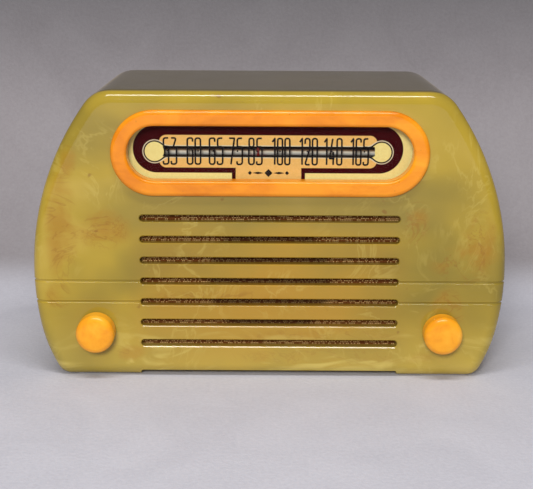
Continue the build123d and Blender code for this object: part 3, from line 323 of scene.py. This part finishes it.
# ---- the numbers on the glass ----
# The band numbers are printed in black on the back of the glass, so that they run across the
# slot too. Each is a tall narrow figure with round turns, drawn as a line and given width.
figure_height = 15.0
pen_radius = 0.50
figure_gap = 1.5
figure_base = dial_z / mm - 7.6
bands = {
    "53": -57.1, "60": -43.4, "65": -30.8, "75": -19.6, "85": -8.4,
    "100": 6.3, "120": 21.9, "140": 35.9, "165": 51.0,
}
stops_x = (-58.6, -41.0, -32.4, -18.6, -7.5, 5.7, 21.2, 35.1, 53.7)
strokes = {
    "0": [([(0, 0), (1, 0), (1, 1), (0, 1)], True)],
    "1": [([(-0.15, 0.86), (0.9, 1), (0.9, 0)], False)],
    "2": [([(0, 0.8), (0, 1), (1, 1), (1, 0.62), (0, 0), (1, 0)], False)],
    "3": [([(0, 1), (0.95, 1), (0.4, 0.66), (1, 0.64), (1, 0), (0, 0), (0, 0.12)], False)],
    "4": [([(0.62, 1), (0, 0.24), (1.05, 0.24)], False), ([(0.78, 0.5), (0.78, 0)], False)],
    "5": [([(0.95, 1), (0.05, 1), (0.05, 0.66), (1, 0.69), (1, 0), (0, 0), (0, 0.12)], False)],
    "6": [([(1, 0.86), (1, 1), (0, 1), (0, 0), (1, 0), (1, 0.6), (0.02, 0.6)], False)],
    "7": [([(0, 1), (1, 1), (0.35, 0)], False)],
    "8": [([(0, 0), (1, 0), (1, 0.67), (0, 0.67)], True),
          ([(0.06, 0.67), (0.94, 0.67), (0.94, 1), (0.06, 1)], True)],
}
sharp = {"1": 0.1, "4": 0.1, "7": 0.25}


def turned_corner(before, corner, after, radius):
    """Points of a round turn at a corner, as large as its two sides allow."""
    to_before, to_after = before - corner, after - corner
    reach = min(radius, to_before.length * 0.499, to_after.length * 0.499)
    start = corner + to_before.normalized() * reach
    end = corner + to_after.normalized() * reach
    return [start.lerp(corner, t).lerp(corner.lerp(end, t), t) for t in (0, 0.2, 0.4, 0.6, 0.8, 1)]


def figure_lines(figure, left, width):
    """The lines of one figure, in mm, standing on the base line."""
    radius = sharp.get(figure, width / 2)
    for points, closed in strokes[figure]:
        corners = [
            Vector((left + x * width, figure_base + y * figure_height)) for x, y in points
        ]
        path = []
        count = len(corners)
        for i, corner in enumerate(corners):
            if not closed and i in (0, count - 1):
                path.append(corner)
            else:
                path += turned_corner(corners[i - 1], corner, corners[(i + 1) % count], radius)
        yield path, closed


ink_curve = bpy.data.curves.new("dial_numbers", "CURVE")
ink_curve.dimensions = "3D"
ink_curve.bevel_depth = pen_radius * mm
ink_curve.bevel_resolution = 2
ink_curve.use_fill_caps = True
for word, middle in bands.items():
    width = 3.0 if len(word) == 2 else 2.7
    widths = [width * (0.5 if figure == "1" else 1.0) for figure in word]
    left = middle - (sum(widths) + figure_gap * (len(word) - 1)) / 2
    for figure, wide in zip(word, widths):
        for path, closed in figure_lines(figure, left, wide):
            line = ink_curve.splines.new("POLY")
            line.points.add(len(path) - 1)
            for point, spot in zip(line.points, path):
                point.co = (spot.x * mm, 0.0, spot.y * mm, 1.0)
            line.use_cyclic_u = closed
        left += wide + figure_gap
numbers = bpy.data.objects.new("dial_numbers", ink_curve)
bpy.context.scene.collection.objects.link(numbers)
bpy.ops.object.select_all(action="DESELECT")
numbers.select_set(True)
bpy.context.view_layer.objects.active = numbers
bpy.ops.object.convert(target="MESH")
glass_low, glass_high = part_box("dial_glass")
ink_y = glass_high.y - 0.06 * mm
flatten = Matrix.Diagonal((1.0, 0.06, 1.0, 1.0))
numbers.data.transform(Matrix.Translation((0.0, ink_y, 0.0)) @ flatten)


def dot(x, z, radius, sides=24):
    bpy.ops.mesh.primitive_cylinder_add(
        vertices=sides, radius=radius * mm, depth=0.05 * mm,
        location=(x * mm, ink_y, z * mm), rotation=(math.pi / 2, 0, 0),
    )
    return bpy.context.object


marks = [dot(x, dial_z / mm, 0.5) for x in stops_x]
ornament_x, ornament_z = -0.9, dial_z / mm - 12.5
for side in (-1, 1):
    small = dot(ornament_x + side * 10.6, ornament_z, 1.2, 4)
    wing = dot(ornament_x + side * 6.0, ornament_z, 1.7, 4)
    wing.scale = (1.9, 0.42, 1.0)
    marks += [small, wing]
marks.append(dot(ornament_x, ornament_z, 2.3, 4))
bpy.ops.object.select_all(action="DESELECT")
for mark in marks:
    mark.select_set(True)
bpy.context.view_layer.objects.active = numbers
numbers.select_set(True)
bpy.ops.object.transform_apply(location=True, rotation=True, scale=True)
bpy.ops.object.join()
ink, ink_shader, place = new_material("dial_ink", Roughness=0.8, Specular_IOR_Level=0.1)
thin = place.noise(2500.0, 2.0).step(0.35, 0.75)
feed(ink_shader, Base_Color=thin.blend((0.010, 0.008, 0.008), (0.030, 0.022, 0.020)))
numbers.data.materials.append(ink)
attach(numbers, "radio")


# ---- the dial glass ----
# Clear sheet glass cut with rounded corners, its edges ground a little. It lies against the
# cabinet's inside, with the numbers' ink behind it.
bpy.ops.mesh.primitive_cube_add(size=1.0)
glass = bpy.context.object
glass.name = "dial_glass_sheet"
centre = (glass_low + glass_high) / 2
size = glass_high - glass_low
glass.scale = (size.x - 0.1 * mm, size.y - 0.35 * mm, size.z - 0.1 * mm)
glass.location = (centre.x, centre.y - 0.12 * mm, centre.z)
bpy.ops.object.transform_apply(location=True, rotation=True, scale=True)
corners = glass.modifiers.new("corners", "BEVEL")
corners.width = 4.0 * mm
corners.segments = 8
corners.limit_method = "WEIGHT"
weights = glass.data.attributes.new("bevel_weight_edge", "FLOAT", "EDGE")
for edge in glass.data.edges:
    a, b = (glass.data.vertices[v].co for v in edge.vertices)
    weights.data[edge.index].value = 1.0 if abs(a.y - b.y) > 1e-4 else 0.0
bpy.ops.object.modifier_apply(modifier="corners")
seamed = glass.modifiers.new("seamed", "BEVEL")
seamed.width = 0.3 * mm
seamed.segments = 2
seamed.angle_limit = math.radians(50)
bpy.ops.object.modifier_apply(modifier="seamed")
bpy.ops.object.shade_smooth_by_angle(angle=math.radians(35))
pane, pane_shader, place = new_material(
    "old_window_glass", Base_Color=(0.02, 0.02, 0.02), Roughness=0.03, IOR=1.5
)
dust = place.noise(700.0, 3.0, 0.7)
feed(pane_shader, Alpha=0.05 + 0.03 * dust.step(0.55, 0.85))
pane.surface_render_method = "BLENDED"
glass.data.materials.append(pane)
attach(glass, "radio")
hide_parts("dial_glass")


# ---- the pointer and its rail ----
# The rail shows through the scale's slot: pale along its lower half, a painted reflection, and
# dark brown along its top, painted shade mixed with tarnish. The pointer that slides on it is
# painted dark red.
plate, plate_shader, place = new_material("polished_plating", Specular_IOR_Level=0.15)
above = place.split(mm)[2] - dial_z / mm
# Pale below and dark brown above, by height on the rail: painted reflection and painted shade,
# with noise for tarnish.
darkening = above + 0.8 * place.stretched(0.3, 1.0, 1.0).noise(160.0, 3.0)
colour = darkening.step(-2.0, 2.2).ramp(
    (0.0, (1.0, 0.97, 0.86)), (0.30, (1.0, 0.88, 0.66)),
    (0.55, (0.24, 0.13, 0.06)), (0.85, (0.02, 0.012, 0.01)),
)
feed(plate_shader, Base_Color=colour)
feed(plate_shader, Roughness=0.42 + 0.12 * place.stretched(0.1, 1.0, 1.0).noise(1500.0, 2.0))
dress(plate, "pointer_rail")
red, red_shader, place = new_material("pointer_red", Roughness=0.4)
brushed = place.noise(500.0, 2.0)
feed(red_shader, Base_Color=brushed.blend((0.16, 0.012, 0.008), (0.28, 0.02, 0.012)))
dress(red, "dial_pointer")


# ---- the grille cloth and its board ----
# Coarse speaker cloth: dark brown thread woven with a bright metallic one, stretched over a
# pressed fibre board and glued round its edge. Over the board's hole, where only the speaker is
# behind it, the cloth is painted darker: painted shade.
cloth_low, cloth_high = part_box("grille_cloth")
cloth_size = cloth_high - cloth_low
thread = 0.95
columns, rows = 174, 92
bpy.ops.mesh.primitive_grid_add(x_subdivisions=columns, y_subdivisions=rows, size=1.0)
cloth = bpy.context.object
cloth.name = "woven_grille_cloth"
cloth.scale = (cloth_size.x, cloth_size.z, 1.0)
cloth.rotation_euler = (math.pi / 2, 0.0, 0.0)
middle = (cloth_low + cloth_high) / 2
cloth.location = (middle.x, cloth_low.y + 0.22 * mm, middle.z)
bpy.ops.object.transform_apply(location=True, rotation=True, scale=True)
screws = [(x, z) for x in (-81.5, 81.5) for z in (38.7, 88.0)]
knob_x, knob_z = 100.0, 28.0
clear_of_screw, clear_of_knob = 4.6, 15.8
bpy.ops.object.mode_set(mode="EDIT")
bpy.ops.mesh.select_all(action="DESELECT")
bpy.ops.object.mode_set(mode="OBJECT")
for face in cloth.data.polygons:
    spot = face.center
    x, z = spot.x / mm, spot.z / mm
    near_screw = any(math.hypot(x - a, z - b) < clear_of_screw for a, b in screws)
    near_knob = math.hypot(abs(x) - knob_x, z - knob_z) < clear_of_knob
    face.select = near_screw or near_knob
bpy.ops.object.mode_set(mode="EDIT")
bpy.ops.mesh.delete(type="FACE")
bpy.ops.object.mode_set(mode="OBJECT")
for vertex in cloth.data.vertices:
    x, z = vertex.co.x / mm, vertex.co.z / mm
    vertex.co.y += 0.05 * mm * math.sin(0.9 * x) * math.sin(0.7 * z + 0.1 * x)
thick = cloth.modifiers.new("thickness", "SOLIDIFY")
thick.thickness = 0.25 * mm
thick.offset = 0.0
bpy.ops.object.modifier_apply(modifier="thickness")
bpy.ops.object.shade_smooth_by_angle(angle=math.radians(40))
baffle_low, baffle_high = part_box("baffle_board")
weave, weave_shader, place = new_material("metallic_speaker_cloth", Specular_IOR_Level=0.15)
x, _, z = place.split(thread * mm)
row = z.math("FLOOR", z)
across = x + 0.5 * row.math("PINGPONG", row, 1.0)
cell = place.node("ShaderNodeCombineXYZ", {0: across.math("FLOOR", across), 2: row})
chance = place.node("ShaderNodeTexWhiteNoise", {"Vector": cell}, {"noise_dimensions": "3D"})
in_x = abs(across.math("FRACT", across) - 0.5)
in_z = abs(z.math("FRACT", z) - 0.5)
knot = (in_x * in_x + in_z * in_z * 1.6).step(0.24, 0.03)
worn = place.noise(50.0, 3.0)
bright = chance.step(0.30, 0.60) * knot * (0.6 + worn)
ribs = in_x.step(0.5, 0.1) * 0.5 + in_z.step(0.5, 0.2) * 0.5
brown = ribs.blend((0.025, 0.007, 0.003), (0.25, 0.080, 0.020))
colour = bright.at_most(1.0).blend(brown, (1.0, 0.68, 0.27))
hole_x, hole_z = place.split(mm)[0], place.split(mm)[2]
hole_z = hole_z - (baffle_low.z + baffle_high.z) / (2 * mm)
# Over the board's hole the cloth is painted darker: painted shade of the open cavity behind it.
hole_shade = (hole_x * hole_x + hole_z * hole_z).step(1520.0, 1050.0)
feed(weave_shader, Base_Color=(hole_shade * 0.62).blend(colour, (0.020, 0.008, 0.006)))
feed(weave_shader, Metallic=bright * 0.3)
feed(weave_shader, Roughness=0.85 - 0.4 * bright)
bumped(weave_shader, ribs + knot, 0.7, 0.0003)
cloth.data.materials.append(weave)
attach(cloth, "radio")
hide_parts("grille_cloth")
board, board_shader, place = new_material("pressed_fibre_board", Roughness=0.85)
fibres = place.stretched(1.0, 1.0, 0.3).noise(600.0, 4.0, 0.7)
feed(board_shader, Base_Color=fibres.blend((0.085, 0.045, 0.022), (0.20, 0.115, 0.06)))
bumped(board_shader, fibres, 0.3, 0.0003)
dress(board, "baffle_board", "speaker_gasket")


# ---- the sheet metal inside ----
# The chassis, brackets and frames are pressed from cadmium-plated steel, dulled and stained.
# The speaker's basket and the metal valves are lacquered black over steel.
plated, plated_shader, place = new_material("dull_plated_steel", Metallic=1.0)
stain = place.noise(35.0, 5.0, 0.65)
colour = stain.step(0.35, 0.75).blend((0.55, 0.53, 0.46), (0.30, 0.26, 0.19))
feed(plated_shader, Base_Color=colour)
feed(plated_shader, Roughness=0.32 + 0.25 * stain)
bumped(plated_shader, place.noise(400.0, 3.0), 0.12, 0.0002)
dress(
    plated, "chassis_pan", "dial_frame", "dial_clips", "front_panel_screws", "volume_shaft",
    "volume_control_body", "panel_nuts", "chassis_screws", "idler_studs", "gang_frame",
    "gang_bracket", "speaker_bolts", "speaker_magnet", "back_panel_screws",
)
black, black_shader, place = new_material("black_lacquered_steel", Roughness=0.35)
worn = place.noise(55.0, 5.0, 0.7)
colour = worn.step(0.62, 0.74).blend((0.012, 0.012, 0.013), (0.07, 0.05, 0.04))
feed(black_shader, Base_Color=colour)
feed(black_shader, Roughness=0.28 + 0.3 * worn)
bumped(black_shader, place.noise(500.0, 2.0), 0.1, 0.0002)
dress(black, "speaker_basket", "metal_valves")
iron, iron_shader, place = new_material("varnished_laminations", Metallic=0.8)
leaves = place.stretched(0.02, 1.0, 0.02).noise(2600.0, 1.0)
feed(iron_shader, Base_Color=leaves.blend((0.05, 0.045, 0.04), (0.20, 0.18, 0.16)))
feed(iron_shader, Roughness=0.45 + 0.2 * leaves)
bumped(iron_shader, leaves, 0.5, 0.0002)
dress(iron, "output_transformer_core", "glass_valve_electrodes")


# ---- turned and drawn metal ----
# Brass shafts and pulleys come off a lathe, and the capacitor's plates, the cans and the drum are
# drawn or stamped aluminium.
brass, brass_shader, place = new_material("turned_brass", Metallic=1.0)
darkening = place.noise(140.0, 4.0, 0.6)
colour = darkening.step(0.4, 0.8).blend((0.66, 0.46, 0.16), (0.34, 0.22, 0.08))
feed(brass_shader, Base_Color=colour)
feed(brass_shader, Roughness=0.24 + 0.2 * place.stretched(1.0, 8.0, 1.0).noise(400.0, 2.0))
dress(
    brass, "tuning_shaft", "tuning_bushing", "idler_pulley_left", "idler_pulley_right",
    "gang_rotor_shaft", "pilot_lamp_holder",
)
drawn, drawn_shader, place = new_material("drawn_aluminium", Metallic=1.0)
lines = place.stretched(1.0, 1.0, 0.04).noise(900.0, 2.0)
feed(drawn_shader, Base_Color=lines.blend((0.62, 0.63, 0.64), (0.80, 0.81, 0.82)))
feed(drawn_shader, Roughness=0.26 + 0.2 * lines)
dress(
    drawn, "cord_drum", "gang_stator_plates", "gang_rotor_plates", "if_transformer_cans",
    "filter_capacitor_can",
)
wound, wound_shader, place = new_material("enamelled_copper_wire", Roughness=0.3)
layers = place.stretched(0.05, 1.0, 1.0).noise(1800.0, 1.0)
feed(wound_shader, Base_Color=layers.blend((0.22, 0.06, 0.02), (0.48, 0.17, 0.06)))
feed(wound_shader, Metallic=0.35 + 0.2 * layers)
bumped(wound_shader, layers, 0.5, 0.0002)
dress(wound, "output_transformer_winding", "voice_coil", "loop_antenna")


# ---- moulded, rubber, paper and glass pieces ----
# Valve bases, sockets and resistors are moulded brown phenolic, the capacitors are waxed paper
# tubes, and the gland and feet are black rubber.
bakelite, bakelite_shader, place = new_material("brown_moulded_phenolic")
flow = place.noise(80.0, 4.0, 0.6, 0.7)
feed(bakelite_shader, Base_Color=flow.blend((0.035, 0.014, 0.008), (0.10, 0.038, 0.018)))
feed(bakelite_shader, Roughness=0.25 + 0.2 * flow)
dress(bakelite, "tube_sockets", "glass_valve_bases", "gang_insulators", "resistors")
waxed, waxed_shader, place = new_material("waxed_paper_tubes")
smudge = place.noise(110.0, 4.0, 0.6)
feed(waxed_shader, Base_Color=smudge.blend((0.40, 0.26, 0.10), (0.66, 0.50, 0.26)))
feed(waxed_shader, Roughness=0.35 + 0.3 * smudge)
dress(waxed, "paper_capacitors")
pulp, pulp_shader, place = new_material("pressed_paper_pulp", Roughness=0.95)
pressed = place.noise(350.0, 5.0, 0.7)
feed(pulp_shader, Base_Color=pressed.blend((0.035, 0.030, 0.026), (0.10, 0.085, 0.07)))
bumped(pulp_shader, pressed, 0.5, 0.0004)
dress(pulp, "speaker_cone", "speaker_surround", "speaker_spider")
rubber, rubber_shader, place = new_material("perished_black_rubber")
bloom = place.noise(160.0, 4.0, 0.6)
colour = bloom.step(0.5, 0.8).blend((0.012, 0.012, 0.012), (0.05, 0.047, 0.042))
feed(rubber_shader, Base_Color=colour)
feed(rubber_shader, Roughness=0.6 + 0.25 * bloom)
dress(rubber, "mains_grommet", "chassis_washers", "gang_grommets")
bulb, bulb_shader, place = new_material(
    "blown_valve_glass", Base_Color=(0.85, 0.90, 0.90), Roughness=0.03, IOR=1.5
)
feed(bulb_shader, Alpha=0.14 + 0.10 * place.noise(90.0, 2.0))
bulb.surface_render_method = "BLENDED"
dress(bulb, "glass_valve_bulbs", "pilot_lamp_bulb")
braid, braid_shader, place = new_material("waxed_dial_cord", Roughness=0.8)
twist = place.node(
    "ShaderNodeTexWave", {"Vector": place, "Scale": 260.0}, {"bands_direction": "DIAGONAL"}, out=1
)
feed(braid_shader, Base_Color=twist.blend((0.17, 0.13, 0.08), (0.50, 0.42, 0.28)))
bumped(braid_shader, twist, 0.6, 0.0002)
dress(braid, "pointer_cord", "drive_cord")


# ---- the knobs ----
# Turned from rods of the same butterscotch resin as the bezel, slightly brighter, buffed, and
# pushed on to the shafts over felt washers.
knob_resin, knob_shader, place = new_material("butterscotch_knob_resin", IOR=1.5)
mottle = place.noise(70.0, 4.0, 0.6, 0.4)
colour = mottle.ramp(
    (0.3, (0.78, 0.27, 0.008)), (0.5, (0.90, 0.36, 0.012)), (0.75, (0.95, 0.45, 0.03))
)
feed(knob_shader, Base_Color=colour)
feed(knob_shader, Roughness=0.18 + 0.1 * place.noise(150.0, 2.0))
bumped(knob_shader, place.noise(180.0, 2.0), 0.06, 0.0003)
dress(knob_resin, "volume_knob", "tuning_knob")
felt, felt_shader, place = new_material("pressed_felt", Roughness=0.98, Sheen_Weight=0.3)
fuzz = place.noise(1400.0, 4.0, 0.7)
feed(felt_shader, Base_Color=fuzz.blend((0.045, 0.032, 0.02), (0.13, 0.10, 0.07)))
bumped(felt_shader, fuzz, 0.6, 0.0003)
dress(felt, "knob_felt_washers")


# ---- the back panel ----
# Hard-pressed brown fibreboard with punched vents, screwed into the corner bosses. The loop
# antenna is on its inside.
back, back_shader, place = new_material("back_fibreboard")
fibres = place.stretched(0.35, 1.0, 1.0).noise(420.0, 5.0, 0.7)
blotch = place.noise(18.0, 3.0)
colour = fibres.blend((0.11, 0.052, 0.024), (0.24, 0.13, 0.065))
feed(back_shader, Base_Color=(blotch.step(0.45, 0.7) * 0.4).blend(colour, (0.10, 0.055, 0.03)))
feed(back_shader, Roughness=0.55 + 0.3 * fibres)
bumped(back_shader, fibres, 0.35, 0.0003)
dress(back, "back_panel")


# ---- the stage ----
# A pale grey cloth on a table, which sweeps up behind the radio into a grey backdrop. The sweep is
# open from behind, so that the back can be looked at.
bpy.ops.mesh.primitive_plane_add(size=6.0, location=(0.0, 0.0, 0.0))
floor = bpy.context.object
floor.name = "floor"
bpy.ops.mesh.primitive_grid_add(x_subdivisions=2, y_subdivisions=60, size=1.0)
sweep = bpy.context.object
sweep.name = "backdrop"
bend, bend_start, rise = 0.16, 0.085, 2.5
for vertex in sweep.data.vertices:
    along = (vertex.co.y + 0.5) * 1.5
    turn = min(along, 1.0) * math.pi / 2
    vertex.co.x *= 6.0
    vertex.co.y = bend_start + bend * math.sin(turn)
    vertex.co.z = 0.0002 + bend * (1.0 - math.cos(turn)) + max(0.0, along - 1.0) * 2 * rise
bpy.ops.object.shade_smooth()
cover, cover_shader, place = new_material(
    "grey_table_cover", Roughness=0.95, Specular_IOR_Level=0.1
)
height = place.split(1.0)[2]
nap = place.noise(420.0, 3.0, 0.7)
creases = place.noise(16.0, 4.0, 0.6, 1.0)
uneven = nap * 0.5 + creases * 0.5
shade = uneven.blend((0.42, 0.412, 0.455), (0.71, 0.70, 0.755))
shaded_sweep = uneven.blend((0.225, 0.200, 0.207), (0.37, 0.345, 0.355))
shaded_sweep_top = uneven.blend((0.09, 0.086, 0.09), (0.165, 0.16, 0.165))
# The cloth is painted darker where it rises from the table, and darker again higher up the sweep:
# painted shade.
shade = (height + 0.006 * creases).step(0.002, 0.024).blend(shade, shaded_sweep)
shade = height.step(0.10, 0.27).blend(shade, shaded_sweep_top)
feed(cover_shader, Base_Color=shade)
bumped(cover_shader, nap, 0.4, 0.0006)
clear = place.node("ShaderNodeBsdfTransparent", {})
shown = Wire(cover_shader.outputs[0])
behind = place.node("ShaderNodeNewGeometry", {}, out=6)
mixed = shown.node("ShaderNodeMixShader", {0: behind, 1: shown, 2: clear})
cover.node_tree.links.new(mixed.socket, cover.node_tree.nodes["Material Output"].inputs[0])
for piece in (floor, sweep):
    piece.data.materials.append(cover)
    piece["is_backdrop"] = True
sweep.visible_shadow = False

# A strip of light high in front, a broad soft light behind the camera, and an even grey room.
world = bpy.data.worlds.new("room")
bpy.context.scene.world = world
world.use_nodes = True
world.node_tree.nodes["Background"].inputs[0].default_value = (0.80, 0.80, 0.84, 1.0)
world.node_tree.nodes["Background"].inputs[1].default_value = 0.27
bpy.context.scene.view_settings.view_transform = "Standard"


def softbox(name, where, aim, width, height, watts):
    light = bpy.data.lights.new(name, "AREA")
    light.shape = "RECTANGLE"
    light.size = width
    light.size_y = height
    light.energy = watts
    lamp = bpy.data.objects.new(name, light)
    bpy.context.scene.collection.objects.link(lamp)
    lamp.location = where
    lamp.rotation_euler = (Vector(aim) - Vector(where)).to_track_quat("-Z", "Y").to_euler()
    return lamp


softbox("strip", (0.0, -0.50, 1.20), (0.0, 0.0, 0.1), 0.85, 0.17, 8.0)
room_light = softbox("room_light", (-0.2, -1.7, 0.80), (0.0, 0.0, 0.1), 0.5, 0.4, 23.5)
room_light.visible_glossy = False

# The camera stands in front and a little above, looking down on the dial.
looking_down = math.radians(13.02)
leaning = math.radians(0.30)
off_middle, back_from_front, eye_height = -0.0018, 0.688, 0.2385
lens = bpy.data.cameras.new("camera")
lens.sensor_width = 36.0
lens.lens = 83.4
camera = bpy.data.objects.new("camera", lens)
bpy.context.scene.collection.objects.link(camera)
front_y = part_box("cabinet_shell")[0].y
tilt = Matrix.Rotation(math.pi / 2 - looking_down, 4, "X") @ Matrix.Rotation(leaning, 4, "Z")
stand = Matrix.Translation((off_middle, front_y - back_from_front, eye_height))
camera.matrix_world = stand @ tilt
bpy.context.scene.camera = camera

[[list(corner) for corner in box] for box in (cad_box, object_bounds())]
